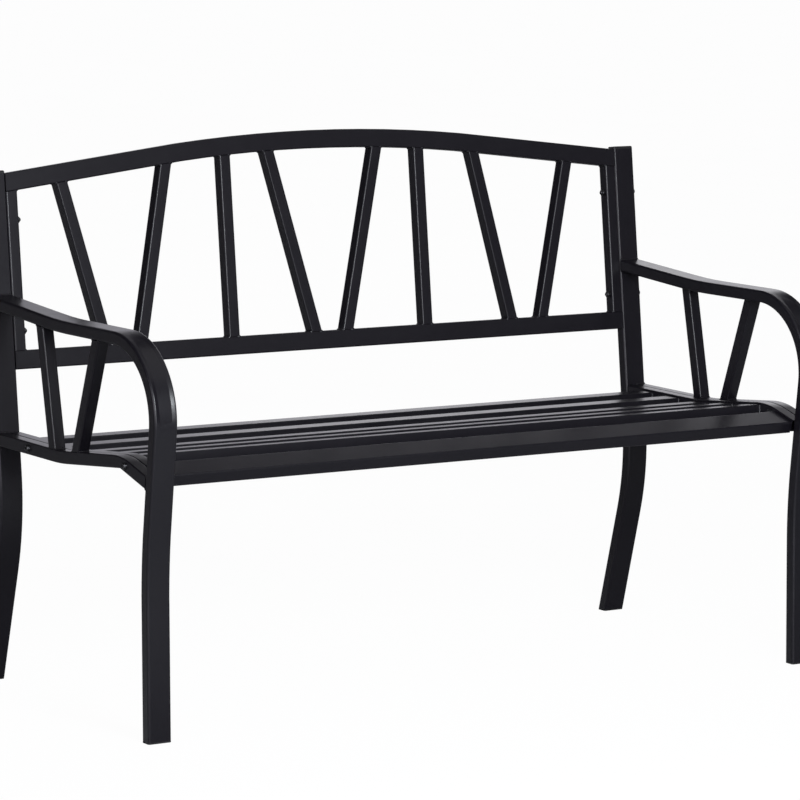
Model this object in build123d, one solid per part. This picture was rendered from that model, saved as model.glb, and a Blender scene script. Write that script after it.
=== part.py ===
from build123d import *
import math
import os

# Outdoor bench for two: welded steel tube, a slatted seat that rolls over at the front, a low
# arched back with slanting bars, and two side frames whose front leg and arm are one bent tube.
# Millimetres. +X runs along the seat, the front faces -Y, +Z is up and the feet stand at zero.
# Places from front to back are measured from the middle of the seat, the rear being positive.

# Overall
overall_width = 1270.0

# Tube stock: sizes across the flats, and the leg of the flat that breaks each outer corner
frame_tube_width = 40.0        # arm, legs and posts, measured along the seat
frame_tube_depth = 20.0
frame_tube_corner = 2.2
rail_width = 20.0              # side rails of the frames and end rails of the seat
rail_depth = 20.0
rail_corner = 1.2
back_rail_height = 30.0        # top and bottom rails of the back
back_depth = 20.0              # front to back, rails and stiles of the back
stile_width = 20.0
back_corner = 1.5
bar_width = 20.0               # slanting bars of the back
bar_depth = 20.0
bar_corner = 1.2
spindle_size = 20.0            # slanting bars under the arms
spindle_corner = 1.2
slat_width = 30.0
slat_thickness = 15.0
slat_corner = 1.2
nosing_width = 48.0
nosing_thickness = 19.5
nosing_corner = 1.5
strap_width = 25.0             # flat strip that ties the slats together underneath
strap_thickness = 4.0
heavy_wall = 1.2               # arms, legs and posts
light_wall = 1.0

# Rear leg and post, centre line. The post's top is level with the end of the back's top rail
rear_foot_y = 262.7
rear_knee_y = 197.3
rear_knee_height = 263.0
rear_knee_radius = 420.0
post_recline = 7.553           # degrees from upright

# Arm and front leg, centre line: back end at the post, dip, front corner, knee, foot
arm_back_height = 611.0
arm_dip_y = 25.0
arm_dip_height = 597.2
arm_dip_radius = 900.0
arm_corner_y = -281.0
arm_corner_height = 601.2
arm_corner_radius = 119.5
front_knee_y = -250.0
front_knee_height = 267.0
front_knee_radius = 1000.0
front_foot_y = -261.0

# Side rail, centre line: level behind, a rise to the crest, then a fall to the front leg
rail_height = 396.0
rail_dip_y = 7.0
rail_crest_y = -177.0
rail_rise = 19.3
rail_fall_angle = 15.6
rail_dip_radius = 400.0
rail_crest_top_radius = 140.0
rail_crest_under_radius = 4.0

# Spindles under the arm: where their axes meet the centre lines of the side rail and the arm
rear_spindle_foot_y = 30.5
rear_spindle_top_y = 77.0
front_spindle_foot_y = -36.1
front_spindle_top_y = -101.9

# Seat panel between the side rails
seat_rear_clearance = 3.5
seat_front_clearance = 4.5
slat_count = 5
first_slat_distance = 54.8     # from the seat panel's rear end to the middle of the first slat
slat_pitch = 73.8
slat_drop = 3.5                # tops of the slats below the tops of the rails
strap_tuck = 20.0              # length of the strap that lies under the nosing

# Back panel, in the plane of the posts' front faces, measured up the slope from the ground
back_bottom_height = 507.2
back_panel_height = 361.2      # from the bottom rail's lower edge to the crown of the top rail
top_rail_slope = 6.75
top_rail_radius = 2760.0       # along the upper edge

# Foot and top places of the back bars' axes, outwards from the middle, as shares of half the panel
bar_foot_shares = (0.0524, 0.3185, 0.6101, 0.7178)
bar_top_shares = (0.1788, 0.3185, 0.4998, 0.8466)

# End plugs
cap_flange = 4.5
cap_edge = 1.6
foot_flange = 2.5
plug_length = 16.0
plug_clearance = 0.2

# Bolts, nuts and washers
bolt_diameter = 6.0
bolt_hole_clearance = 0.3
bolt_head_diameter = 10.5
bolt_head_height = 3.3
bolt_head_edge = 1.2
socket_across_flats = 4.0
socket_depth = 1.8
bolt_tip_length = 2.4
nut_across_flats = 10.0
nut_height = 4.6
washer_diameter = 12.0
washer_thickness = 1.0
washer_bore_clearance = 0.2
round_sides = 12               # bolts, washers and their holes are drawn with this many sides
back_bolt_above_bottom_rail = 30.5
back_bolt_below_top_rail = 45.0
seat_bolt_from_rear = 94.0
seat_bolt_from_front = 58.0

# Worked out from the sizes above
half_width = overall_width / 2
frame_inner = half_width - frame_tube_width
frame_middle = half_width - frame_tube_width / 2
rail_inner = half_width - rail_width
seat_half = rail_inner - rail_width
along_seat = Vector(1, 0, 0)
cut_reach = overall_width
post_lean = math.radians(post_recline)
slope_angle = math.radians(top_rail_slope)


def stock(across, deep, corner):
    """Section of a tube: its round corners are drawn as flats, which keeps its facets few."""
    return chamfer(Rectangle(across, deep).vertices(), length=corner)


def inside(section, inset):
    """The same section, smaller all round."""
    return offset(section, amount=-inset, kind=Kind.INTERSECTION)


def follow(path, section, across_direction=along_seat):
    """A solid bar of one section that follows a flat path: runs are extruded, bends revolved."""
    bar = None
    for edge in path.edges():
        start = Plane(origin=edge @ 0, x_dir=across_direction, z_dir=edge % 0)
        if edge.geom_type == GeomType.LINE:
            piece = extrude(start * section, amount=edge.length)
        else:
            turn_axis = Axis(edge.arc_center, (edge % 0).cross(edge % 1))
            turn = (edge % 0).get_angle(edge % 1)
            piece = revolve(start * section, axis=turn_axis, revolution_arc=turn)
        bar = piece if bar is None else bar + piece
    return bar


def tube(path, section, wall, across_direction=along_seat):
    """A hollow tube along a flat path."""
    bore = follow(path, inside(section, wall), across_direction)
    return follow(path, section, across_direction) - bore


def side_point(y, z, x=0):
    """A place on a side frame, at x along the seat."""
    return Vector(x, y, z)


def slab(low, high):
    """Everything between two heights."""
    return Pos(0, 0, low) * Box(cut_reach * 2, cut_reach * 2, high - low,
                                align=(Align.CENTER, Align.CENTER, Align.MIN))


def between(near, far):
    """Everything between two places along the seat."""
    return Pos(near, 0, 0) * Box(far - near, cut_reach * 2, cut_reach * 2,
                                 align=(Align.MIN, Align.CENTER, Align.CENTER))


# Side frame lines

def line_y(start, end, height):
    """Where a straight line through two (y, height) places passes a height."""
    return start[0] + (end[0] - start[0]) * (height - start[1]) / (end[1] - start[1])


rear_knee = (rear_knee_y, rear_knee_height)
rear_foot = (rear_foot_y, 0)
front_foot = (front_foot_y, 0)
front_knee = (front_knee_y, front_knee_height)
arm_dip = (arm_dip_y, arm_dip_height)
arm_corner = (arm_corner_y, arm_corner_height)
leg_lean = math.atan2(front_knee_y - arm_corner_y, arm_corner_height - front_knee_height)


def post_centre_y(height):
    return rear_knee_y + (height - rear_knee_height) * math.tan(post_lean)


def leg_centre_y(height):
    return line_y(front_knee, arm_corner, height)


def post_front_y(height):
    return post_centre_y(height) - frame_tube_depth / 2 / math.cos(post_lean)


def leg_rear_y(height):
    return leg_centre_y(height) + frame_tube_depth / 2 / math.cos(leg_lean)


def up_the_slope(y, height):
    """Distance up the posts' slope from the ground to a place."""
    return (y - post_front_y(0)) * math.sin(post_lean) + height * math.cos(post_lean)


# Heights of the back up that slope
bottom_line = back_bottom_height + back_rail_height / 2
crown_line = back_bottom_height + back_panel_height - back_rail_height / 2
crown_radius = top_rail_radius - back_rail_height / 2
apex_height = crown_line + crown_radius * (1 / math.cos(slope_angle) - 1)
top_rail_end_height = (apex_height - frame_inner * math.tan(slope_angle)
                       + back_rail_height / 2 / math.cos(slope_angle))

post_length = top_rail_end_height - up_the_slope(rear_knee_y, rear_knee_height)
post_top = (rear_knee_y + post_length * math.sin(post_lean),
            rear_knee_height + post_length * math.cos(post_lean))
post_corners = [(line_y(rear_foot, rear_knee, -frame_tube_width), -frame_tube_width),
                rear_knee,
                post_top]
arm_corners = [(post_centre_y(arm_back_height), arm_back_height),
               arm_dip,
               arm_corner,
               front_knee,
               (line_y(front_foot, front_knee, -frame_tube_width), -frame_tube_width)]


def side_path(corners, radii, x):
    """A line with rounded corners in the plane of a side frame."""
    return FilletPolyline(*[side_point(y, z, x) for y, z in corners], radius=radii)


def post_path(x):
    """Rear leg and post, from below the ground to the post's top."""
    return side_path(post_corners, rear_knee_radius, x)


def arm_path(x):
    """Arm and front leg, from inside the post to below the ground."""
    return side_path(arm_corners, [arm_dip_radius, arm_corner_radius, front_knee_radius], x)


def height_on(corners, y):
    """Height at which a line that runs from the rear to the front passes a place."""
    for rear, front in zip(corners, corners[1:]):
        if front[0] <= y <= rear[0]:
            return rear[1] + (front[1] - rear[1]) * (y - rear[0]) / (front[0] - rear[0])


# Rail line: the profile that the side rails, end rails, slats and strap share

fall = math.radians(rail_fall_angle)
rise_angle = math.atan2(rail_rise, rail_dip_y - rail_crest_y)
rail_crest_height = rail_height + rail_rise
front_reach = rail_crest_y - leg_centre_y(rail_crest_height)
rail_corners = [(post_centre_y(rail_height), rail_height),
                (rail_dip_y, rail_height),
                (rail_crest_y, rail_crest_height),
                (rail_crest_y - front_reach, rail_crest_height - front_reach * math.tan(fall))]


def beside(corners, rise):
    """Corners of the line that runs above another at a steady distance."""
    ups = []
    for near, far in zip(corners, corners[1:]):
        length = math.hypot(far[0] - near[0], far[1] - near[1])
        ups.append(((far[1] - near[1]) / length, (near[0] - far[0]) / length))
    moved = []
    for index, corner in enumerate(corners):
        before = ups[max(index - 1, 0)]
        after = ups[min(index, len(ups) - 1)]
        share = rise / (1 + before[0] * after[0] + before[1] * after[1])
        moved.append((corner[0] + share * (before[0] + after[0]),
                      corner[1] + share * (before[1] + after[1])))
    return moved


def profile_line(corners, rise, radii):
    return side_path(beside(corners, rise), radii, 0)


top_radii = [rail_dip_radius - rail_depth / 2, rail_crest_top_radius]
middle_radii = [rail_dip_radius, rail_crest_top_radius - rail_depth / 2]
under_radii = [rail_dip_radius + rail_depth / 2, rail_crest_under_radius]
seat_line = profile_line(rail_corners, 0, middle_radii)


def rail_bar(corners, top_rise, under_rise, near, far):
    """A bar between two lines beside the rail line, with square edges, extruded along the seat."""
    top = profile_line(corners, top_rise, top_radii)
    under = profile_line(corners, under_rise, under_radii)
    ends = [Line(top @ 0, under @ 0), Line(top @ 1, under @ 1)]
    face = make_face(top.edges() + under.edges() + ends)
    bar = extrude(face, amount=far - near, dir=along_seat)
    return Pos(near, 0, 0) * bar


def hollow_rail(near, far):
    """A rail tube along the rail line, its long edges broken by flats."""
    half = rail_depth / 2
    outside = rail_bar(rail_corners, half, -half, near, far)
    end_faces = [outside.faces().sort_by(Axis.Y)[0], outside.faces().sort_by(Axis.Y)[-1]]
    end_edges = [edge for face in end_faces for edge in face.edges()]
    long_edges = [edge for edge in outside.edges().filter_by(Axis.X, reverse=True)
                  if edge not in end_edges]
    outside = chamfer(long_edges, length=rail_corner)
    return outside - rail_bar(rail_corners, half - light_wall, light_wall - half,
                              near + light_wall, far - light_wall)


# Side frames, made on the right and mirrored to the left

frame_section = stock(frame_tube_width, frame_tube_depth, frame_tube_corner)
frame_block_section = Rectangle(frame_tube_width, frame_tube_depth)
post_outside = follow(post_path(frame_middle), frame_section)
arm_outside = follow(arm_path(frame_middle), frame_section)
post_block = follow(post_path(frame_middle), frame_block_section)
arm_block = follow(arm_path(frame_middle), frame_block_section)
rail_block = rail_bar(rail_corners, rail_depth / 2, -rail_depth / 2, rail_inner, half_width)
above_feet = slab(foot_flange, cut_reach)


def frame_bore(path, clearance=0):
    """The bore of a frame tube as a solid, smaller all round by a clearance."""
    return follow(path, inside(frame_section, heavy_wall + clearance))


def rear_post():
    return (post_outside - frame_bore(post_path(frame_middle))) & above_feet


def arm_tube():
    return ((arm_outside - frame_bore(arm_path(frame_middle))) & above_feet) - post_block


def side_rail():
    return hollow_rail(rail_inner, half_width) - post_block - arm_block


def spindle(foot_y, top_y):
    path = Line(side_point(foot_y, height_on(rail_corners, foot_y), half_width - rail_width / 2),
                side_point(top_y, height_on(arm_corners, top_y), half_width - rail_width / 2))
    bar = tube(path, stock(spindle_size, spindle_size, spindle_corner), light_wall)
    return bar - rail_block - arm_block


post_slope = Vector(0, math.sin(post_lean), math.cos(post_lean))


def post_cap():
    top = Plane(origin=side_point(*post_top, frame_middle), x_dir=along_seat, z_dir=post_slope)
    flange = extrude(top * frame_section, amount=cap_flange)
    flange = chamfer(flange.faces().sort_by(Axis.Z)[-1].edges(), length=cap_edge)
    plug = extrude(top * inside(frame_section, heavy_wall + plug_clearance), amount=-plug_length)
    return flange + plug


def foot_plug(outside, path):
    flange = outside & slab(0, foot_flange)
    plug = frame_bore(path, plug_clearance) & slab(foot_flange, foot_flange + plug_length)
    return flange + plug


# Seat panel

def seat_reach():
    """Distances along the seat line of its two ends, clear of the post and the front leg."""
    rear = (post_centre_y(rail_height) - post_front_y(rail_height)) + seat_rear_clearance
    fall_start = rail_corners[2]
    leg_slope = math.tan(leg_lean)
    gap = fall_start[0] - leg_rear_y(fall_start[1])
    fall_length = gap / (math.cos(fall) + math.sin(fall) * leg_slope)
    corner_loss = sum(
        radius * (2 * math.tan(turn / 2) - turn)
        for radius, turn in zip(middle_radii, (rise_angle, rise_angle + fall)))
    straight = rail_corners[0][0] - rail_dip_y
    climb = math.hypot(rail_dip_y - rail_crest_y, rail_rise)
    front = straight + climb + fall_length - corner_loss - seat_front_clearance
    return rear, front


seat_rear, seat_front = seat_reach()


def seat_plane(distance, x=0):
    """A plane across the seat line: its x runs forwards down the line, its y up, its normal left."""
    place = seat_line.position_at(distance, position_mode=PositionMode.LENGTH)
    heading = seat_line.tangent_at(distance, position_mode=PositionMode.LENGTH)
    return Plane(origin=(x, place.Y, place.Z), x_dir=heading, z_dir=-along_seat)


def seat_cut(distance, keep_front):
    """A block that covers everything in front of, or behind, a square cut across the seat line."""
    side = Align.MIN if keep_front else Align.MAX
    return seat_plane(distance) * Box(cut_reach, cut_reach, cut_reach * 2,
                                      align=(side, Align.CENTER, Align.CENTER))


seat_behind = seat_cut(seat_rear, False)
seat_ahead = seat_cut(seat_front, True)


def end_rail():
    return hollow_rail(seat_half, rail_inner) - seat_behind - seat_ahead


def cross_bar(distance, thickness, section):
    """A straight bar from end rail to end rail, its top set below the tops of the rails."""
    drop = rail_depth / 2 - slat_drop - thickness / 2
    return extrude(seat_plane(distance, seat_half) * Pos(0, drop, 0) * section, amount=2 * seat_half)


def cross_tube(distance, width, thickness, corner):
    section = stock(width, thickness, corner)
    bore = cross_bar(distance, thickness, inside(section, light_wall))
    return cross_bar(distance, thickness, section) - bore


def slat_distance(index):
    return seat_rear + first_slat_distance + index * slat_pitch


def seat_slat(index):
    return cross_tube(slat_distance(index), slat_width, slat_thickness, slat_corner)


nosing_distance = seat_front - nosing_width / 2


def front_nosing():
    return cross_tube(nosing_distance, nosing_width, nosing_thickness, nosing_corner)


def seat_strap():
    """A flat strip under the slats, from the first slat to under the nosing."""
    top = rail_depth / 2 - slat_drop - slat_thickness
    strap = rail_bar(rail_corners, top, top - strap_thickness, -strap_width / 2, strap_width / 2)
    strap = strap - seat_cut(slat_distance(0) - slat_width / 2, False)
    strap = strap - seat_cut(seat_front - nosing_width + strap_tuck, True)
    for index in range(slat_count):
        block = Rectangle(slat_width, slat_thickness)
        strap = strap - cross_bar(slat_distance(index), slat_thickness, block)
    block = Rectangle(nosing_width, nosing_thickness)
    return strap - cross_bar(nosing_distance, nosing_thickness, block)


# Back panel

back_plane = Plane(origin=side_point(post_front_y(0), 0), x_dir=along_seat,
                   z_dir=along_seat.cross(post_slope))
panel_half = frame_inner
stile_middle = panel_half - stile_width / 2
back_normal = back_plane.z_dir


def back_point(x, rise):
    """A point in the middle of the back's depth."""
    return back_plane.from_local_coords(Vector(x, rise, -back_depth / 2))


def top_rail_path():
    reach = panel_half + back_rail_height
    end_height = apex_height - reach * math.tan(slope_angle)
    return FilletPolyline(back_point(-reach, end_height), back_point(0, apex_height),
                          back_point(reach, end_height), radius=crown_radius)


def bottom_rail_path():
    return Line(back_point(-panel_half, bottom_line), back_point(panel_half, bottom_line))


panel_width_only = between(-panel_half, panel_half)
back_rail_section = stock(back_depth, back_rail_height, back_corner)
back_rail_block_section = Rectangle(back_depth, back_rail_height)
top_rail_block = follow(top_rail_path(), back_rail_block_section, back_normal)
bottom_rail_block = follow(bottom_rail_path(), back_rail_block_section, back_normal)


def back_top_rail():
    return tube(top_rail_path(), back_rail_section, light_wall, back_normal) & panel_width_only


def back_bottom_rail():
    return tube(bottom_rail_path(), back_rail_section, light_wall, back_normal)


def between_rails(foot_x, top_x, width, depth, corner):
    """A bar of the back, cut to the rails it stands between."""
    path = Line(back_point(foot_x, bottom_line), back_point(top_x, crown_line))
    bar = tube(path, stock(depth, width, corner), light_wall, back_normal)
    bar = bar - top_rail_block - bottom_rail_block
    return bar.solids().sort_by(Axis.Z)[0]


def stile():
    return between_rails(stile_middle, stile_middle, stile_width, back_depth, back_corner)


def back_bar(foot_share, top_share):
    rise = (crown_line - bottom_line) / (crown_line - bottom_line - back_rail_height)
    foot = foot_share * panel_half
    top = top_share * panel_half
    middle = (foot + top) / 2
    return between_rails(middle + (foot - middle) * rise, middle + (top - middle) * rise,
                         bar_width, bar_depth, bar_corner)


# Bolts through the post and stile, and through the side rail and end rail

def back_bolt_places():
    low = back_bottom_height + back_rail_height + back_bolt_above_bottom_rail
    end_height = apex_height - stile_middle * math.tan(slope_angle)
    high = end_height - back_rail_height / 2 / math.cos(slope_angle) - back_bolt_below_top_rail
    return [back_point(0, low), back_point(0, high)]


def seat_bolt_places():
    places = (seat_rear + seat_bolt_from_rear, seat_front - seat_bolt_from_front)
    return [seat_plane(place).origin for place in places]


def across_round(place, x, radius, length):
    """A round bar that starts at x and runs outwards along the seat."""
    plane = Plane(origin=(x, place.Y, place.Z), x_dir=(0, 1, 0), z_dir=along_seat)
    return extrude(plane * RegularPolygon(radius, round_sides), amount=length)


def across_hexagon(place, x, across_flats, length):
    plane = Plane(origin=(x, place.Y, place.Z), x_dir=(0, 1, 0), z_dir=along_seat)
    return extrude(plane * RegularPolygon(across_flats / 2, 6, major_radius=False), amount=length)


def bolt_holes(places):
    holes = None
    for place in places:
        hole = across_round(place, 0, bolt_diameter / 2 + bolt_hole_clearance, cut_reach)
        holes = hole if holes is None else holes + hole
    return holes


def bolt(place, inner_x):
    start = inner_x - nut_height - bolt_tip_length
    head_start = half_width + washer_thickness
    shank = across_round(place, start, bolt_diameter / 2, head_start - start)
    head = across_round(place, head_start, bolt_head_diameter / 2, bolt_head_height)
    head = chamfer(head.faces().sort_by(Axis.X)[-1].edges(), length=bolt_head_edge)
    socket = across_hexagon(place, head_start + bolt_head_height - socket_depth,
                            socket_across_flats, bolt_head_height)
    return shank + head - socket


def nut(place, inner_x):
    body = across_hexagon(place, inner_x - nut_height, nut_across_flats, nut_height)
    return body - across_round(place, inner_x - nut_height, bolt_diameter / 2, nut_height)


def washer(place):
    disc = across_round(place, half_width, washer_diameter / 2, washer_thickness)
    bore = bolt_diameter / 2 + washer_bore_clearance
    return disc - across_round(place, half_width, bore, washer_thickness)


parts = {}


def add_both_sides(name, shape):
    """One piece on the right and its mirror image on the left."""
    parts["right_" + name] = shape
    parts["left_" + name] = mirror(shape, about=Plane.YZ)


back_places = back_bolt_places()
seat_places = seat_bolt_places()
back_holes = bolt_holes(back_places)
seat_holes = bolt_holes(seat_places)

add_both_sides("rear_post", rear_post() - back_holes)
add_both_sides("arm_tube", arm_tube())
add_both_sides("seat_side_rail", side_rail() - seat_holes)
add_both_sides("arm_spindle_rear", spindle(rear_spindle_foot_y, rear_spindle_top_y))
add_both_sides("arm_spindle_front", spindle(front_spindle_foot_y, front_spindle_top_y))
add_both_sides("post_cap", post_cap())
add_both_sides("rear_foot", foot_plug(post_outside, post_path(frame_middle)))
add_both_sides("front_foot", foot_plug(arm_outside, arm_path(frame_middle)))

add_both_sides("seat_end_rail", end_rail() - seat_holes)
for slat_index in range(slat_count):
    parts["seat_slat_" + str(slat_index + 1)] = seat_slat(slat_index)
parts["seat_front_nosing"] = front_nosing()
parts["seat_centre_strap"] = seat_strap()

parts["back_top_rail"] = back_top_rail()
parts["back_bottom_rail"] = back_bottom_rail()
add_both_sides("back_stile", stile() - back_holes)
bar_count = len(bar_foot_shares)
for bar_index in range(bar_count):
    bar = back_bar(bar_foot_shares[bar_index], bar_top_shares[bar_index])
    parts["back_bar_" + str(bar_count + 1 + bar_index)] = bar
    parts["back_bar_" + str(bar_count - bar_index)] = mirror(bar, about=Plane.YZ)

stile_inner = panel_half - stile_width
for label, place in zip(("lower", "upper"), back_places):
    add_both_sides("back_bolt_" + label, bolt(place, stile_inner))
    add_both_sides("back_nut_" + label, nut(place, stile_inner))
for label, place in zip(("rear", "front"), seat_places):
    add_both_sides("seat_bolt_" + label, bolt(place, seat_half))
    add_both_sides("seat_nut_" + label, nut(place, seat_half))
add_both_sides("back_washers", Compound([washer(place) for place in back_places]))
add_both_sides("seat_washers", Compound([washer(place) for place in seat_places]))

# The origin goes on the ground under the middle of the whole bench
bounds = Compound([solid for shape in parts.values() for solid in shape.solids()]).bounding_box()
to_middle = Pos(0, -(bounds.min.Y + bounds.max.Y) / 2, 0)

os.makedirs("parts", exist_ok=True)
for name, shape in parts.items():
    solids = (to_middle * shape).solids()
    export_step(solids[0] if len(solids) == 1 else Compound(solids), "parts/" + name + ".step")
print(len(parts), "pieces")
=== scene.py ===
# %% [markdown]
# # An outdoor bench, dressed for its picture
#
# The bench is welded from steel tube and powder coated in satin black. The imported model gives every
# piece its place and size, in metres: +X runs along the seat, the front faces -Y and the feet stand
# at zero. This lesson keeps those sizes and adds what the drawing leaves out: the round corners of
# the tubes, the weld beads, the fasteners' real shape, the finishes, the light and the camera.

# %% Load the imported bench
import math
import bmesh
import bpy
from mathutils import Matrix, Vector


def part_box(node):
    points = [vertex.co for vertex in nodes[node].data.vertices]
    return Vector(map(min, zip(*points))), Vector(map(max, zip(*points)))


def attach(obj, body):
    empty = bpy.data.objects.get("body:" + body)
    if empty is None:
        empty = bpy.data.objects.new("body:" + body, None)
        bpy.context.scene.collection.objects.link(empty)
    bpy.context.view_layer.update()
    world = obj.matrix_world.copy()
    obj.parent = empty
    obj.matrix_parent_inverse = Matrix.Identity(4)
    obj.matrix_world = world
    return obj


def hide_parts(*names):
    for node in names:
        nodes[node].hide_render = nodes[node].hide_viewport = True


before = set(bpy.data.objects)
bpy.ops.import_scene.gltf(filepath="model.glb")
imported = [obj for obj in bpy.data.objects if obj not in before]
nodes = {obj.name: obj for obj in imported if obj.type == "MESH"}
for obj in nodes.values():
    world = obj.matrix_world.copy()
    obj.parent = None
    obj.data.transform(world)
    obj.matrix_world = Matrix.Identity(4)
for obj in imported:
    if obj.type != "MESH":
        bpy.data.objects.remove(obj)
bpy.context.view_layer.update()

# %% [markdown]
# ## The camera
#
# The photograph was taken from the left and a little above, with a long lens: far things are almost
# as large as near ones. A camera in Blender can be aimed by hand, but a picture's lines say where it
# stood. Its place, heading, tilt and roll were worked out from the edges of posts, rails and bars.
# The small shift moves the picture in its frame, as a view camera does.

# %% Set up the camera
picture_width = 800
sensor_width = 36.0
focal_pixels = 4300.5
axis_pixel = (400.15, 415.14)
camera_place = Vector((-3.8261, -5.6989, 1.4335))
heading, tilt, roll = 0.58999, 0.146668, 0.018729
farthest_seen = 60

ahead = Vector((math.sin(heading), math.cos(heading), 0))
forward = ahead * math.cos(tilt) - Vector((0, 0, math.sin(tilt)))
level = Vector((math.cos(heading), -math.sin(heading), 0))
upright = level.cross(forward)
right_hand = level * math.cos(roll) + upright * math.sin(roll)
head_up = upright * math.cos(roll) - level * math.sin(roll)

bpy.ops.object.camera_add(location=camera_place)
camera = bpy.context.object
camera.name = "camera"
turn = Matrix((right_hand, head_up, -forward)).transposed()
camera.rotation_euler = turn.to_euler()
camera.data.sensor_width = sensor_width
camera.data.lens = focal_pixels * sensor_width / picture_width
camera.data.shift_x = (picture_width / 2 - axis_pixel[0]) / picture_width
camera.data.shift_y = (axis_pixel[1] - picture_width / 2) / picture_width
camera.data.clip_end = farthest_seen
camera.data.dof.use_dof = False
bpy.context.scene.camera = camera
bpy.context.scene.view_settings.view_transform = "Standard"
shift = round(camera.data.shift_x, 4), round(camera.data.shift_y, 4)
print("lens", round(camera.data.lens, 1), "mm, shift", shift)

# %% [markdown]
# ## Shader sums as plain sums
#
# A finish is a small machine of nodes. It could be wired up node by node, but that is slow to read
# back, so one class wraps a socket. Sums, differences and products of wrapped sockets add the Math
# nodes, and any other node comes from a single method that takes its type, its settings and what
# goes into its sockets.

# %% A wire that knows arithmetic
class Wire:
    def __init__(self, tree, socket=None):
        self.tree = tree
        self.socket = socket

    def node(self, kind, settings, sockets, out=0):
        made = self.tree.nodes.new(kind)
        for name, value in settings.items():
            setattr(made, name, value)
        for name, value in sockets.items():
            if isinstance(value, Wire):
                self.tree.links.new(value.socket, made.inputs[name])
            else:
                made.inputs[name].default_value = value
        return Wire(self.tree, made.outputs[out] if len(made.outputs) else None)

    def sum_of(self, operation, first, second):
        return self.node("ShaderNodeMath", {"operation": operation}, {0: first, 1: second})

    def __add__(self, other):
        return self.sum_of("ADD", self, other)

    def __sub__(self, other):
        return self.sum_of("SUBTRACT", self, other)

    def __rsub__(self, other):
        return self.sum_of("SUBTRACT", other, self)

    def __mul__(self, other):
        return self.sum_of("MULTIPLY", self, other)

    __radd__ = __add__
    __rmul__ = __mul__


print("sums, differences and products of sockets are ready")

# %% [markdown]
# ## A finish starts from the shader
#
# Every finish here is one Principled shader. Several shaders could be mixed, but one keeps to what a
# real surface can do. What is the same all over the surface, such as the index of refraction, is set
# on its own socket. What changes over the surface comes in by a wire.

# %% Helpers for finishes
def new_finish(name):
    material = bpy.data.materials.new(name)
    material.use_nodes = True
    material.node_tree.nodes.clear()
    bench_top = Wire(material.node_tree)
    place = bench_top.node("ShaderNodeTexCoord", {}, {}, "Object")
    return material, bench_top, place


def grain(bench_top, place, per_metre, detail=2.0):
    """Noise from 0 to 1 with so many bumps to a metre."""
    return bench_top.node("ShaderNodeTexNoise", {"noise_dimensions": "3D"},
                          {"Vector": place, "Scale": per_metre, "Detail": detail, "Roughness": 0.5})


def blend_colours(bench_top, share, first, second):
    """The first colour where the share is 0, the second where it is 1."""
    return bench_top.node("ShaderNodeMix", {"data_type": "RGBA"},
                          {0: share, 6: (*first, 1), 7: (*second, 1)}, 2)


def raised(bench_top, height, distance, strength):
    return bench_top.node("ShaderNodeBump", {},
                          {"Height": height, "Distance": distance, "Strength": strength})


def close_finish(bench_top, material, sockets):
    shader = bench_top.node("ShaderNodeBsdfPrincipled", {}, sockets)
    bench_top.node("ShaderNodeOutputMaterial", {}, {"Surface": shader})
    print("finish", material.name, "has", len(material.node_tree.nodes), "nodes")
    return material


# %% [markdown]
# ## Satin black powder coat
#
# The powder is blown on dry and melts in an oven into a skin about 0.1 mm thick. It never lies quite
# flat: it keeps a fine dimpled texture, under a millimetre from dimple to dimple, and longer, shallow
# waves. The dimples only need a bump. The waves also change how sharp the reflections are, so they
# go into the roughness. The black is a very dark grey, a touch towards violet, as the photograph
# shows it.

# %% Powder coat
deeper_black, paler_black = (0.0072, 0.0064, 0.0094), (0.0104, 0.0094, 0.0130)
dimple_depth = 0.00003


def powder_coat():
    material, bench_top, place = new_finish("powder coat, satin black")
    dimples = grain(bench_top, place, 1100.0, detail=1.5)
    pinholes = grain(bench_top, place, 3200.0, detail=1.0)
    waves = grain(bench_top, place, 55.0, detail=2.0)
    cloud = grain(bench_top, place, 7.0, detail=3.0)
    colour = blend_colours(bench_top, cloud, deeper_black, paler_black)
    roughness = 0.25 + waves * 0.06 + cloud * 0.05
    skin = dimples * 0.75 + pinholes * 0.25
    bump = raised(bench_top, skin, dimple_depth, 0.6)
    return close_finish(bench_top, material, {"Base Color": colour, "Roughness": roughness,
                                              "Normal": bump, "IOR": 1.5})


coat = powder_coat()

# %% [markdown]
# ## Moulded plastic for the caps and feet
#
# The plugs in the ends of the tubes are moulded in black plastic with a matte, slightly leathery
# skin from the mould. It is duller than the coat, and its grain is coarser. Noise alone would look
# like dust, so the cells of a Voronoi pattern make the leather, with a little noise on top.

# %% Moulded plastic
plastic_black, plastic_grey = (0.014, 0.014, 0.015), (0.022, 0.022, 0.023)
leather_depth = 0.00005


def moulded_plastic():
    material, bench_top, place = new_finish("moulded plastic, matte black")
    leather = bench_top.node("ShaderNodeTexVoronoi", {"feature": "SMOOTH_F1"},
                             {"Vector": place, "Scale": 900.0})
    fine = grain(bench_top, place, 2600.0)
    cloud = grain(bench_top, place, 30.0)
    colour = blend_colours(bench_top, cloud, plastic_black, plastic_grey)
    roughness = 0.46 + cloud * 0.12
    bump = raised(bench_top, leather * 0.7 + fine * 0.3, leather_depth, 0.6)
    return close_finish(bench_top, material, {"Base Color": colour, "Roughness": roughness,
                                              "Normal": bump, "IOR": 1.46})


plastic = moulded_plastic()

# %% [markdown]
# ## Dark zinc for bolts, nuts and washers
#
# The fasteners are plated and blackened. A dark paint would look flat on them: they are metal, so
# Metallic is full and their colour is in their reflection. Fine scratches and a cloudy plating break
# it up.

# %% Dark zinc plating
dull_zinc, bright_zinc = (0.10, 0.10, 0.105), (0.17, 0.17, 0.175)
scratch_depth = 0.00003


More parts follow.
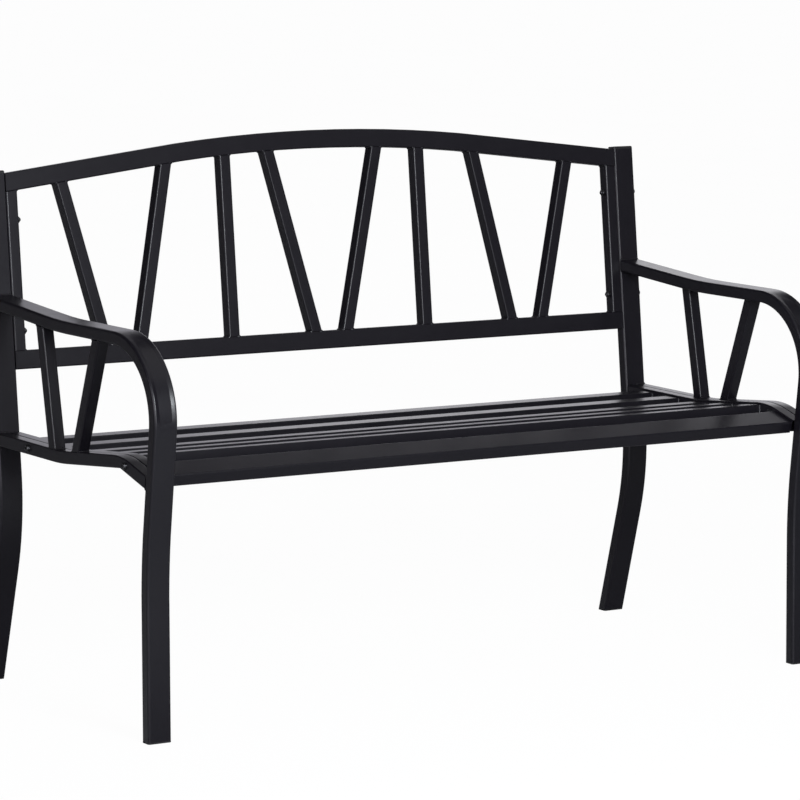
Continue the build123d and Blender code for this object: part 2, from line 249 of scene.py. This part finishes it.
def dark_zinc():
    material, bench_top, place = new_finish("dark zinc plating")
    cloud = grain(bench_top, place, 160.0, detail=3.0)
    scratches = grain(bench_top, place, 2400.0, detail=2.0)
    colour = blend_colours(bench_top, cloud, dull_zinc, bright_zinc)
    roughness = 0.26 + cloud * 0.16 + scratches * 0.05
    bump = raised(bench_top, scratches, scratch_depth, 0.5)
    return close_finish(bench_top, material, {"Base Color": colour, "Roughness": roughness,
                                              "Normal": bump, "Metallic": 1.0})


zinc = dark_zinc()

# %% [markdown]
# ## Working on a piece as by hand
#
# Blender's operators act on whatever is selected, and loading the bench left all of its nodes
# selected. So before each step only the piece in hand is selected. In edit mode, edges and faces are
# picked in code by their direction or place, then an operator does the work.

# %% Helpers for modelling
def take_in_hand(*pieces):
    if bpy.context.object and bpy.context.object.mode != "OBJECT":
        bpy.ops.object.mode_set(mode="OBJECT")
    bpy.ops.object.select_all(action="DESELECT")
    for piece in pieces:
        piece.select_set(True)
    bpy.context.view_layer.objects.active = pieces[0]


def open_mesh(piece, mode="VERT"):
    take_in_hand(piece)
    bpy.ops.object.mode_set(mode="EDIT")
    bpy.ops.mesh.select_mode(type=mode)


def close_mesh():
    bpy.ops.object.mode_set(mode="OBJECT")


def pick(piece, kind, wanted):
    """Selects the edges or faces of a piece in edit mode that pass a test. Returns how many."""
    mesh = bmesh.from_edit_mesh(piece.data)
    bpy.ops.mesh.select_all(action="DESELECT")
    items = mesh.edges if kind == "edges" else mesh.faces
    found = 0
    for item in items:
        if wanted(item):
            item.select_set(True)
            found += 1
    mesh.select_flush_mode()
    bmesh.update_edit_mesh(piece.data)
    return found


def finish_piece(piece, material, slot, *replaced):
    piece.data.materials.clear()
    piece.data.materials.append(material)
    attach(piece, "root")
    if replaced:
        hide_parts(*replaced)


# %% [markdown]
# ## A clean copy of a tube
#
# The drawing's tubes come in as loose triangles, which no bevel can follow. Each tube could be built
# anew, but then its sizes would have to be repeated here. A copy has them already, so the copy is
# merged from its triangles into clean faces and shaped further. The node itself stays as it is.

# %% Clean copies
same_place = 0.00002
same_plane = math.radians(0.6)


def clean_copy(node):
    piece = bpy.data.objects.new(node + "_finished", nodes[node].data.copy())
    bpy.context.scene.collection.objects.link(piece)
    open_mesh(piece)
    bpy.ops.mesh.select_all(action="SELECT")
    bpy.ops.mesh.remove_doubles(threshold=same_place)
    bpy.ops.mesh.dissolve_limited(angle_limit=same_plane)
    close_mesh()
    return piece


print("corners within", same_place * 1000, "mm are merged")

# %% [markdown]
# ## What bending does to the arm
#
# A flat tube that is pressed round a die does not keep its section. On the outside of the bend the
# steel is stretched, so the wall sinks in between its two edges. That is why a streak of light runs
# beside the inner edge of each arm where it turns down. A bump could fake the streak, but not the
# dent, so the wall is really moved. For that it needs more corners: it is cut along its length, and
# once round the tube where the bend ends.

# %% Cut the outer wall of a bend
bend_ends_at = 0.445
cut_spacing = 0.0041
out_of_bend = Vector((0, -1, 1)).normalized()


def faces_out(normal, least):
    return normal.dot(out_of_bend) > least and abs(normal.x) < 0.1


def cut_the_wall(piece):
    """Three cuts on either side of the wall's middle line, one on it, and one where the bend ends."""
    middle = sum((Vector(corner) for corner in piece.bound_box), Vector()) / 8
    open_mesh(piece, "FACE")
    for count in range(-3, 4):
        pick(piece, "faces", lambda face: faces_out(face.normal, 0.75))
        bpy.ops.mesh.bisect(plane_co=(middle.x + count * cut_spacing, 0, 0), plane_no=(1, 0, 0))
    bpy.ops.mesh.select_all(action="SELECT")
    bpy.ops.mesh.bisect(plane_co=(0, 0, bend_ends_at), plane_no=(0, 0, 1))
    close_mesh()


print("the wall is cut every", cut_spacing * 1000, "mm")

# %% [markdown]
# ## Sinking the wall
#
# The wall's new corners could be dragged in by hand. Weights make it even: each corner gets a weight
# by its place, full in the middle of the wall and nothing at its edges, and it fades towards both
# ends of the bend. Then two Displace steps pull the corners in by weight, one backwards and one down.
# Places on the bend are measured as seen from its centre, in radians, 0 at the front and about 1.57
# on top. The bend's radius is the drawing's.

# %% Sink the outer wall of a bend
bend_radius = 0.1295
wall_sink, half_wall = 0.0022, 0.0163
lowest_turn, highest_turn = -0.05, 1.5
sink_begins, sink_ends = (-0.45, 0.15), (1.0, 1.5)
skin_apart, off_round = 0.005, 0.0004


def smooth_step(value, start, end):
    share = min(max((value - start) / (end - start), 0), 1)
    return share * share * (3 - 2 * share)


def bend_centre(piece):
    """The middle of the bend, from the faces of its outer skin. Those of the bore lie deeper."""
    facing = [face for face in piece.data.polygons if faces_out(face.normal, 0.9)]
    skin = [face for face in facing
            if max(other.center.dot(face.normal) for other in facing)
            < face.center.dot(face.normal) + skin_apart]
    return sum((face.center - face.normal * bend_radius for face in skin), Vector()) / len(skin)


def sink_the_wall(piece):
    centre = bend_centre(piece)
    pulls = {"Y": "pulled back", "Z": "pulled down"}
    for name in pulls.values():
        piece.vertex_groups.new(name=name)
    for corner in piece.data.vertices:
        spoke = corner.co - centre
        across = abs(spoke.x)
        spoke.x = 0
        turn = math.atan2(spoke.z, -spoke.y)
        on_the_wall = abs(bend_radius - spoke.length) < off_round and across < half_wall * 0.99
        if on_the_wall and lowest_turn < turn < highest_turn:
            along = smooth_step(turn, *sink_begins) * (1 - smooth_step(turn, *sink_ends))
            pull = (1 - (across / half_wall) ** 2) * along
            backwards, downwards = pull * math.cos(turn), pull * max(0, math.sin(turn))
            piece.vertex_groups[pulls["Y"]].add([corner.index], backwards, "REPLACE")
            piece.vertex_groups[pulls["Z"]].add([corner.index], downwards, "REPLACE")
    take_in_hand(piece)
    for direction, amount in (("Y", wall_sink), ("Z", -wall_sink)):
        pulled = piece.modifiers.new("pulled in", "DISPLACE")
        pulled.direction, pulled.vertex_group = direction, pulls[direction]
        pulled.strength, pulled.mid_level = amount, 0
        bpy.ops.object.modifier_apply(modifier=pulled.name)
    print("wall sunk round the bend's centre", [round(value, 4) for value in centre])


# %% [markdown]
# ## Joint lines
#
# Weld beads will lie where the cut end of one tube stands on another. Their places could be typed in,
# but the copies know them: an edge between a cut end and a wall is a joint line. They are noted while
# the copy is still sharp, because a round corner has no such edge. Bores are left out, as their edges
# lie near the middle of the cut.

# %% Note the joint lines
faces_the_joint = 0.85
shortest_seam = 0.008
from_the_middle = 0.004
seams = []


def note_seams(piece, group, toward, sides, near=None):
    """Keeps the joint lines round one cut end of a tube: start, end, and the two faces' normals."""
    mesh = bmesh.new()
    mesh.from_mesh(piece.data)
    mesh.normal_update()
    cut = [face for face in mesh.faces if face.normal.dot(toward) > faces_the_joint]
    if near:
        cut = [face for face in cut if near(face.calc_center_median())]
    ends = {corner for face in cut for corner in face.verts}
    middle = sum((corner.co for corner in ends), Vector()) / len(ends)
    for face in cut:
        for edge in face.edges:
            if len(edge.link_faces) != 2 or edge.calc_length() < shortest_seam:
                continue
            wall = next((other for other in edge.link_faces if other not in cut), None)
            if wall is None or not sides(wall.normal):
                continue
            start, end = (corner.co.copy() for corner in edge.verts)
            if ((start + end) / 2 - middle).dot(wall.normal) > from_the_middle:
                seams.append((group, start, end, wall.normal.copy(), -face.normal))
    mesh.free()


print("joint lines from", shortest_seam * 1000, "mm up are kept")

# %% [markdown]
# ## Round corners for the tubes
#
# Rolled tube has small round corners, and they matter: they carry the thin bright lines that let
# black tube be read against black tube. The drawing shows each corner as one narrow flat. Both edges
# of each flat are bevelled until the flat is used up, and the two bevels are merged where they meet.
# That gives back the round corner. A hair of the flat left between them would swallow the bright
# line, because half of the turn would happen on it. Only edges that turn by about 45 degrees outwards
# are taken, so bends, bores and cut ends stay as they are. A Bevel modifier knows only a smallest
# angle, so it would round the cut ends too. Flat faces are then told to keep their own normals, so
# that long runs reflect like flat steel.

# %% Round the corners
least_turn, most_turn = math.radians(25), math.radians(65)
bevel_steps = 3
bevels_meet = 0.00007
smooth_below = math.radians(32)


def is_corner(edge):
    return len(edge.link_faces) == 2 and least_turn < edge.calc_face_angle_signed(0) < most_turn


def soften(piece, reach):
    open_mesh(piece, "EDGE")
    count = pick(piece, "edges", is_corner)
    if count:
        bpy.ops.mesh.bevel(offset=reach, segments=bevel_steps, profile=0.5, affect="EDGES",
                           clamp_overlap=True)
        bpy.ops.mesh.select_all(action="SELECT")
        bpy.ops.mesh.remove_doubles(threshold=bevels_meet)
    close_mesh()
    return count


def smooth_with_flats(piece):
    take_in_hand(piece)
    bpy.ops.object.shade_smooth_by_angle(angle=smooth_below)
    weighted = piece.modifiers.new("flats keep their normals", "WEIGHTED_NORMAL")
    weighted.keep_sharp = True
    bpy.ops.object.modifier_apply(modifier=weighted.name)


def rounded_copy(node, reach, material=coat, slot="powder_coated_steel", cut_ends=(), bent=False):
    piece = clean_copy(node)
    for cut_end in cut_ends:
        note_seams(piece, *cut_end)
    if bent:
        cut_the_wall(piece)
    corners = soften(piece, reach)
    if bent:
        sink_the_wall(piece)
    smooth_with_flats(piece)
    finish_piece(piece, material, slot, node)
    print(node, ":", corners, "corner edges rounded,", len(piece.data.polygons), "faces")


# %% [markdown]
# ## Side frames
#
# Arm and leg are one 40 by 20 mm tube, post and rear leg another. Their corners are the largest on
# the bench, about 3.7 mm. The rails and spindles are light square tube with 2 mm corners. How far a
# bevel has to reach follows from the flat: a flat drawn with a leg of 2.2 mm is 3.1 mm wide, and two
# bevels of just under half of that use it up. Each cut end is named by the way it faces, the walls
# that carry a bead, and where it is if the tube has more ends that face that way.

# %% Side frames
both_sides = ("left_", "right_")
heavy_reach, light_reach = 0.001535, 0.000836
up, down = Vector((0, 0, 1)), Vector((0, 0, -1))
to_front, to_back = Vector((0, -1, 0)), Vector((0, 1, 0))


def front_or_back(normal):
    return abs(normal.y) > 0.7


def above_or_below(normal):
    return abs(normal.z) > 0.7


for side, inward in zip(both_sides, (1, -1)):
    welds = side + "frame_welds"

    def front_back_or_inner(normal):
        return abs(normal.y) > 0.7 or normal.x * inward > 0.7

    def above_below_or_inner(normal):
        return abs(normal.z) > 0.7 or normal.x * inward > 0.7

    arm_end = (welds, to_back, above_or_below, lambda place: place.y > 0.2)
    rounded_copy(side + "arm_tube", heavy_reach, cut_ends=[arm_end], bent=True)
    rounded_copy(side + "rear_post", heavy_reach)
    rail_back = (welds, to_back, above_below_or_inner, lambda place: place.y > 0.18)
    rail_front = (welds, to_front, above_below_or_inner, lambda place: place.y < -0.24)
    rounded_copy(side + "seat_side_rail", light_reach, cut_ends=[rail_back, rail_front])
    for name in ("arm_spindle_rear", "arm_spindle_front"):
        spindle_ends = [(welds, down, front_or_back), (welds, up, front_back_or_inner)]
        rounded_copy(side + name, light_reach, cut_ends=spindle_ends)
print(len(seams), "seams on the side frames")

# %% [markdown]
# ## The seat panel
#
# The seat is five slats and a wider nosing between two end rails that follow the same profile as the
# side rails. A welder keeps beads off the top, where people sit, so only the sides and undersides of
# the slats have them. The nosing faces whoever looks at the bench, so its welds are kept to its back.

# %% The seat's pieces
back_reach = 0.001045
to_left, to_right = Vector((-1, 0, 0)), Vector((1, 0, 0))


def front_back_or_below(normal):
    return abs(normal.y) > 0.6 or normal.z < -0.6


def behind(normal):
    return normal.y > 0.6


slat_ends = [("seat_panel_welds", end, front_back_or_below) for end in (to_left, to_right)]
for name in sorted(nodes):
    if name.startswith("seat_slat_"):
        rounded_copy(name, light_reach, cut_ends=slat_ends)
nosing_ends = [("seat_panel_welds", end, behind) for end in (to_left, to_right)]
rounded_copy("seat_front_nosing", back_reach, cut_ends=nosing_ends)
for side in both_sides:
    rounded_copy(side + "seat_end_rail", light_reach)
rounded_copy("seat_centre_strap", light_reach)
print(len(seams), "seams so far")

# %% [markdown]
# ## The back panel
#
# The back is a straight rail and an arched one, with a stile at each end and eight bars between. The
# bars have their beads on their left and right, where they show least, and the stiles only on their
# inner side, because the posts stand close to the outer one.

# %% The back's pieces
def left_or_right(normal):
    return abs(normal.x) > 0.7


bar_ends = [("back_panel_welds", end, left_or_right) for end in (down, up)]
for name in sorted(nodes):
    if name.startswith("back_bar_"):
        rounded_copy(name, light_reach, cut_ends=bar_ends)
for side, inward in zip(both_sides, (1, -1)):
    def inner_side(normal):
        return normal.x * inward > 0.7

    stile_ends = [("back_panel_welds", end, inner_side) for end in (down, up)]
    rounded_copy(side + "back_stile", back_reach, cut_ends=stile_ends)
for name in ("back_top_rail", "back_bottom_rail"):
    rounded_copy(name, back_reach)
print(len(seams), "seams in all")

# %% [markdown]
# ## Caps and feet
#
# Each post ends in a moulded cap, each leg in a plug whose flange is the foot. They could be modelled
# anew, but both are drawn with their real outline, so softer edges and their own finish will do.

# %% Caps and feet
for side in both_sides:
    for name in ("post_cap", "rear_foot", "front_foot"):
        rounded_copy(side + name, heavy_reach, plastic, "plastic_plugs")

# %% [markdown]
# ## A weld bead
#
# Every bar, slat and spindle is held by short fillet welds. A bead is a row of small overlapping
# drops, laid one after another as the torch moves, with a blunt start and a blunt end. It could be
# painted on with a bump, but then it would vanish from the side. So one bead is modelled for each
# length that is needed: a disc is extruded ring by ring, and every ring is scaled to the swell of
# its drop. Most of the bead lies inside the two tubes that it joins, and only its outer quarter
# shows, with legs of about 2 mm.

# %% One bead, as a disc extruded drop by drop
drop_pitch = 0.0020
bead_radius = 0.0032
bead_sides = 12
drop_swell = (0.95, 1.015, 1.03, 0.99)
blunt_end = 0.8
bead_patterns = {}


def bead_pattern(drops):
    """A bead along +X from x = 0, with so many drops."""
    if drops in bead_patterns:
        return bead_patterns[drops]
    bpy.ops.object.select_all(action="DESELECT")
    bpy.ops.mesh.primitive_circle_add(vertices=bead_sides, radius=bead_radius * blunt_end,
                                      fill_type="NGON", rotation=(0, math.radians(90), 0))
    bead = bpy.context.object
    bead.name = "bead_of_%d_drops" % drops
    bpy.ops.object.transform_apply(location=False, rotation=True, scale=False)
    open_mesh(bead, "FACE")
    bpy.ops.mesh.select_all(action="SELECT")
    swells = [swell for drop in range(drops) for swell in drop_swell] + [blunt_end]
    step = drop_pitch * drops / len(swells)
    before = blunt_end
    for count, swell in enumerate(swells):
        bpy.ops.mesh.extrude_region_move(TRANSFORM_OT_translate={"value": (step, 0, 0)})
        ratio = swell / before
        middle = (step * (count + 1), 0, 0)
        bpy.ops.transform.resize(value=(1, ratio, ratio), center_override=middle)
        before = swell
    bpy.ops.mesh.select_all(action="SELECT")
    bpy.ops.mesh.normals_make_consistent(inside=False)
    close_mesh()
    bead_patterns[drops] = bead
    print("bead with", drops, "drops:", len(bead.data.polygons), "faces")
    return bead


# %% [markdown]
# ## Laying the beads
#
# The joint lines were noted while the tubes were still sharp: each has a start, an end, the normal
# of the tube's wall and the normal of the face that it stands on. Beads could be objects that are
# placed and turned one by one. Here a matrix moves the copy's mesh instead, so that it runs along the
# line with its middle sunk into both faces, and the object itself stays unturned. It runs over each
# end of the line by part of a drop. Copies of one panel are then joined into a single piece.

# %% Lay a bead on every seam
bead_sink = 0.0017
overrun = drop_pitch * 0.4
fewest_drops = 4


def lay_bead(start, end, wall, support):
    along = (end - start).normalized()
    reach = (end - start).length + overrun * 2
    drops = max(fewest_drops, round(reach / drop_pitch))
    pattern = bead_pattern(drops)
    bead = pattern.copy()
    bead.data = pattern.data.copy()
    bpy.context.scene.collection.objects.link(bead)
    sink = (wall + support).normalized() * -bead_sink
    side = along.cross(wall).normalized()
    frame_of_bead = Matrix((along * reach / (drops * drop_pitch), wall, side)).transposed().to_4x4()
    frame_of_bead.translation = start - along * overrun + sink
    bead.data.transform(frame_of_bead)
    return bead


for group in sorted({seam[0] for seam in seams}):
    beads = [lay_bead(*seam[1:]) for seam in seams if seam[0] == group]
    take_in_hand(*beads)
    bpy.ops.object.join()
    welds = bpy.context.object
    welds.name = group
    open_mesh(welds)
    bpy.ops.mesh.select_all(action="SELECT")
    bpy.ops.mesh.normals_make_consistent(inside=False)
    close_mesh()
    bpy.ops.object.shade_smooth_by_angle(angle=math.radians(60))
    finish_piece(welds, coat, "powder_coated_steel")
    print(group, "has", len(beads), "beads and", len(welds.data.polygons), "faces")
for pattern in bead_patterns.values():
    bpy.data.objects.remove(pattern)

# %% [markdown]
# ## Button head bolts
#
# The back and the seat are held by button head bolts: a low dome with a hexagon socket, a plain
# shank, and a thread that comes out of the nut. The dome is a cylinder whose outer rim is bevelled
# round. The socket is cut with a hexagonal bar by a Boolean, as a punch would. From the back of the
# head the shank is inset and extruded. The thread could be a true helix, made by a spin, but its
# grooves are half a millimetre deep and mostly inside tube and nut. So they are rings, scaled in turn.

# %% Helpers for turned pieces
def turned_bar(name, sides, radius, length):
    """A bar along X, from x = 0 to its length."""
    bpy.ops.object.select_all(action="DESELECT")
    bpy.ops.mesh.primitive_cylinder_add(vertices=sides, radius=radius, depth=length,
                                        rotation=(0, math.radians(90), 0))
    bar = bpy.context.object
    bar.name = name
    bpy.ops.object.transform_apply(location=False, rotation=True, scale=False)
    bar.data.transform(Matrix.Translation((length / 2, 0, 0)))
    return bar


def cut_with(piece, cutter, operation):
    take_in_hand(piece)
    step = piece.modifiers.new("cut", "BOOLEAN")
    step.operation = operation
    step.object = cutter
    step.solver = "EXACT"
    bpy.ops.object.modifier_apply(modifier=step.name)
    bpy.data.objects.remove(cutter)


def faces_along(direction):
    return lambda face: face.normal.x * direction > 0.99


def both_ends(face):
    return abs(face.normal.x) > 0.99


def draw_out(length, ratio, place):
    """Extrudes the picked face along -X and scales it there. Returns the new place."""
    bpy.ops.mesh.extrude_region_move(TRANSFORM_OT_translate={"value": (-length, 0, 0)})
    bpy.ops.transform.resize(value=(1, ratio, ratio), center_override=(place - length, 0, 0))
    return place - length


print("turned pieces lie along X until they are fitted")

# %% [markdown]
# ## The bolt itself
#
# These are M6 bolts: a head of 10.5 mm with a 4 mm socket, and one turn of thread to the millimetre.
# Each turn is a crest, a flank that falls, a root and a flank that rises. The shank ends in a short
# chamfer. Bolts of one shank length share a pattern.

# %% One bolt for each length
head_radius, head_height, dome_round = 0.00525, 0.0033, 0.0021
socket_flats, socket_depth = 0.0040, 0.0018
shank_radius = 0.0030
thread_pitch, thread_depth, thread_turns = 0.0010, 0.00055, 14
level_length, flank_length = thread_pitch * 0.12, thread_pitch * 0.38
chamfer_length, chamfer_ratio = 0.0006, 0.8


def bolt_pattern(shank):
    """A bolt along X: the head's dome faces +X at x = head_height, the shank runs back from 0."""
    bolt = turned_bar("bolt_pattern", 32, head_radius, head_height)
    open_mesh(bolt, "FACE")
    pick(bolt, "faces", faces_along(1))
    bpy.ops.mesh.bevel(offset=dome_round, segments=6, profile=0.5, affect="EDGES")
    pick(bolt, "faces", faces_along(-1))
    bpy.ops.mesh.inset(thickness=head_radius - shank_radius)
    place = draw_out(shank - thread_turns * thread_pitch - chamfer_length, 1, 0)
    inner = 1 - thread_depth / shank_radius
    for turn in range(thread_turns):
        place = draw_out(level_length, 1, place)
        place = draw_out(flank_length, inner, place)
        place = draw_out(level_length, 1, place)
        place = draw_out(flank_length, 1 / inner, place)
    draw_out(chamfer_length, chamfer_ratio, place)
    close_mesh()
    punch = turned_bar("socket punch", 6, socket_flats / math.sqrt(3), socket_depth * 2)
    punch.data.transform(Matrix.Translation((head_height - socket_depth, 0, 0)))
    cut_with(bolt, punch, "DIFFERENCE")
    take_in_hand(bolt)
    bpy.ops.object.shade_smooth_by_angle(angle=math.radians(35))
    print("bolt with a", round(shank * 1000, 1), "mm shank:", len(bolt.data.polygons), "faces")
    return bolt


# %% [markdown]
# ## The nut
#
# A nut is a hexagon whose corners were turned off at both ends, which leaves the curved edges that
# everybody knows. They come by themselves when a hexagonal bar is intersected with a turned disc
# that has sloping rims. Bevelling the hexagon's edges would make them straight.

# %% One nut
nut_flats, nut_height = 0.0100, 0.0046
disc_radius = nut_flats / 2 * 1.19
rim_slope = 0.0011
bore_radius = shank_radius * 1.01


def nut_pattern():
    nut = turned_bar("nut_pattern", 6, nut_flats / math.sqrt(3), nut_height)
    disc = turned_bar("turned disc", 48, disc_radius, nut_height)
    open_mesh(disc, "FACE")
    pick(disc, "faces", both_ends)
    bpy.ops.mesh.bevel(offset=rim_slope, segments=1, affect="EDGES")
    close_mesh()
    cut_with(nut, disc, "INTERSECT")
    bore = turned_bar("bore", 32, bore_radius, nut_height * 2)
    bore.data.transform(Matrix.Translation((-nut_height / 2, 0, 0)))
    cut_with(nut, bore, "DIFFERENCE")
    take_in_hand(nut)
    bpy.ops.object.shade_smooth_by_angle(angle=math.radians(28))
    print("nut:", len(nut.data.polygons), "faces")
    return nut


nut_form = nut_pattern()

# %% [markdown]
# ## The washer
#
# A washer is punched from sheet, which leaves its rim a little rounded. A disc gets a bevelled rim,
# then both faces are inset as far as the hole, and bridging the two inner faces opens it.

# %% One washer
washer_radius, washer_height, washer_bore = 0.0060, 0.0010, 0.0032
rim_round = 0.00018


def washer_pattern():
    washer = turned_bar("washer_pattern", 40, washer_radius, washer_height)
    open_mesh(washer, "FACE")
    pick(washer, "faces", both_ends)
    bpy.ops.mesh.bevel(offset=rim_round, segments=2, affect="EDGES")
    pick(washer, "faces", both_ends)
    bpy.ops.mesh.inset(thickness=washer_radius - rim_round - washer_bore)
    pick(washer, "faces", lambda face: len(face.verts) > 10)
    bpy.ops.mesh.bridge_edge_loops()
    close_mesh()
    take_in_hand(washer)
    bpy.ops.object.shade_smooth_by_angle(angle=math.radians(35))
    print("washer:", len(washer.data.polygons), "faces")
    return washer


washer_form = washer_pattern()

# %% [markdown]
# ## Fitting the fasteners
#
# Each pattern is copied to its place, which is read from the box of the node that it stands for, so
# nothing has to be measured twice. On the right side the head faces +X, on the left side -X, so there
# the copy is turned half round.

# %% Helpers for fitting
half_turn = Matrix.Rotation(math.pi, 4, "Z")


def fitted(pattern, name, place, outward):
    piece = pattern.copy()
    piece.data = pattern.data.copy()
    piece.name = name
    bpy.context.scene.collection.objects.link(piece)
    if outward < 0:
        piece.data.transform(half_turn)
    piece.data.transform(Matrix.Translation(place))
    return piece


def reach_of(node):
    """Where a node lies: its inner and outer distance from the bench's middle, and its axis."""
    low_corner, high_corner = (Vector(corner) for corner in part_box(node))
    distances = sorted((abs(low_corner.x), abs(high_corner.x)))
    return distances[0], distances[1], (low_corner + high_corner) / 2


print("a bolt on the left reaches", [round(value, 4) for value in reach_of("left_back_bolt_upper")[:2]])

# %% [markdown]
# ## Bolts through, nuts on
#
# From the outside inwards there are the head, the washer, the two tubes and the nut. Heads and nuts
# are pieces of their own. The two washers of a panel's side are one node, so their copies are joined.

# %% Fit bolts, nuts and washers
bolts = {}


def fit_bolt(node, outward):
    tip, head_top, axis = reach_of(node)
    shank = round(head_top - head_height - tip, 5)
    if shank not in bolts:
        bolts[shank] = bolt_pattern(shank)
    seat_of_head = (outward * (head_top - head_height), axis.y, axis.z)
    finish_piece(fitted(bolts[shank], node + "_finished", seat_of_head, outward), zinc, "fasteners", node)


def fit_nut(node, outward):
    """Returns the nut's axis, on which the washer sits too."""
    near, _, axis = reach_of(node)
    nut = fitted(nut_form, node + "_finished", (outward * near, axis.y, axis.z), outward)
    finish_piece(nut, zinc, "fasteners", node)
    return axis


for side, outward in zip(both_sides, (-1, 1)):
    for panel, ends in (("back", ("lower", "upper")), ("seat", ("rear", "front"))):
        washers_node = side + panel + "_washers"
        washer_near = reach_of(washers_node)[0]
        washers = []
        for end in ends:
            fit_bolt(side + panel + "_bolt_" + end, outward)
            axis = fit_nut(side + panel + "_nut_" + end, outward)
            washer_place = (outward * washer_near, axis.y, axis.z)
            washers.append(fitted(washer_form, "washer", washer_place, outward))
        take_in_hand(*washers)
        bpy.ops.object.join()
        pair = bpy.context.object
        pair.name = washers_node + "_finished"
        finish_piece(pair, zinc, "fasteners", washers_node)
for pattern in [*bolts.values(), nut_form, washer_form]:
    bpy.data.objects.remove(pattern)
print("8 bolts, 8 nuts and 8 washers fitted")

# %% [markdown]
# ## Floor
#
# The photograph has a plain white ground. A real white floor under plain light comes out pale grey,
# and more light would bleach the bench. Instead the camera is shown white by the floor's material:
# part of what it sees is the floor as lit, which keeps the shadow, and the rest is plain white. The
# light that the floor throws back at the bench comes from a darker grey, or its underside would glow.

# %% Floor
floor_size = 60
grey_to_the_bench, grey_to_the_camera = (0.42, 0.42, 0.42), (0.8, 0.8, 0.8)
plain_white = 0.968


def white_floor():
    material, bench_top, place = new_finish("white floor")
    seen = bench_top.node("ShaderNodeLightPath", {}, {}, "Is Camera Ray")
    cloth = grain(bench_top, place, 3.0)
    shade = blend_colours(bench_top, seen, grey_to_the_bench, grey_to_the_camera)
    lit = bench_top.node("ShaderNodeBsdfDiffuse", {}, {"Color": shade, "Roughness": 0.9})
    shining = bench_top.node("ShaderNodeEmission", {}, {"Color": (1, 1, 1, 1), "Strength": 1.0})
    share = seen * (plain_white + cloth * 0.01)
    mixed = bench_top.node("ShaderNodeMixShader", {}, {0: share, 1: lit, 2: shining})
    bench_top.node("ShaderNodeOutputMaterial", {}, {"Surface": mixed})
    return material


bpy.ops.object.select_all(action="DESELECT")
bpy.ops.mesh.primitive_plane_add(size=floor_size, location=(0, 0, 0))
floor = bpy.context.object
floor.name = "floor"
floor.data.materials.append(white_floor())
print("floor", floor.dimensions[:])

# %% [markdown]
# ## The room
#
# Black lacquer shows little light of its own: what is seen on it is the room. So the room is built
# from what the tubes reflect. Slat tops and arms, seen almost edge on, mirror the bright backdrop
# behind and to the right. The round corners mirror a wide window at the front left, which draws a
# thin light line along every bar. Everywhere else the room is dark, and both bright parts end low
# down, or the bends would catch them too. Lamps could do the same, but they end in hard edges, and
# the world fades out. Directions run from -1 to 1 along each axis, and each fade is a stretch of one.
# To the camera the world is plain white, as the ground is.

# %% World
room_glow, backdrop_glow, window_glow = 0.035, 0.8, 1.95
middle_fade, upper_fade, window_fade = (-0.2, 0.2), (0.30, 0.60), (0.10, 0.54)
room_tint = (0.955, 0.94, 1.03)
white = (1, 1, 1)


def studio_world():
    world = bpy.data.worlds.new("studio")
    bpy.context.scene.world = world
    world.use_nodes = True
    world.node_tree.nodes.clear()
    bench_top = Wire(world.node_tree)
    seen = bench_top.node("ShaderNodeLightPath", {}, {}, "Is Camera Ray")
    looking = bench_top.node("ShaderNodeTexCoord", {}, {}, "Generated")
    along_x, along_y, height = (bench_top.node("ShaderNodeSeparateXYZ", {}, {"Vector": looking}, axis)
                                for axis in "XYZ")

    def ramp(value, start, end):
        return bench_top.node("ShaderNodeMapRange", {"interpolation_type": "SMOOTHSTEP"},
                              {"Value": value, "From Min": start, "From Max": end})

    behind = ramp(along_y, *middle_fade)
    to_the_right = ramp(along_x, *middle_fade)
    low = 1 - ramp(height, *upper_fade)
    backdrop = behind * to_the_right * low
    window = (1 - behind) * (1 - ramp(along_x, *window_fade)) * low
    around = room_glow + backdrop * backdrop_glow + window * window_glow
    strength = seen + around * (1 - seen)
    tint = blend_colours(bench_top, seen, room_tint, white)
    glow = bench_top.node("ShaderNodeBackground", {}, {"Color": tint, "Strength": strength})
    bench_top.node("ShaderNodeOutputWorld", {}, {"Surface": glow})
    return world


print("world", studio_world().name)

# %% [markdown]
# ## Lamps
#
# Three area lamps work as softboxes. A small one low at the front, a little cool, gives the streak
# beside the sunk wall of the arm and lights the floor that the front legs mirror. A point lamp there
# would leave a dot, not a streak. A large, weak one hangs overhead, and a long one stands at the back
# right for the tops. Sizes are in metres, power is in watts.

# %% Lamps
def soft_lamp(name, place, aim, size, watts, colour=white):
    bpy.ops.object.select_all(action="DESELECT")
    bpy.ops.object.light_add(type="AREA", location=place)
    lamp = bpy.context.object
    lamp.name = name
    lamp.data.shape = "RECTANGLE"
    lamp.data.size, lamp.data.size_y = size
    lamp.data.energy = watts
    lamp.data.color = colour
    lamp.rotation_euler = (Vector(aim) - Vector(place)).to_track_quat("-Z", "Y").to_euler()
    print(name, "at", place, "with", watts, "W")


soft_lamp("overhead softbox", place=(0.6, -0.8, 3.0), aim=(0.1, 0, 0.4), size=(3.2, 2.4), watts=9)
soft_lamp("front softbox", place=(-0.6, -2.2, 1.25), aim=(-0.3, -1.6, 0), size=(0.75, 0.65), watts=40,
          colour=(0.90, 0.96, 1.0))
soft_lamp("back right card", place=(4.4, 4.4, 2.35), aim=(0, 0, 0.5), size=(3.6, 1.4), watts=17)

# %% [markdown]
# ## Last step
#
# The dressed bench has to stay the size of the imported one. At the end nothing is
# left selected.

# %% Finish
bpy.ops.object.select_all(action="DESELECT")
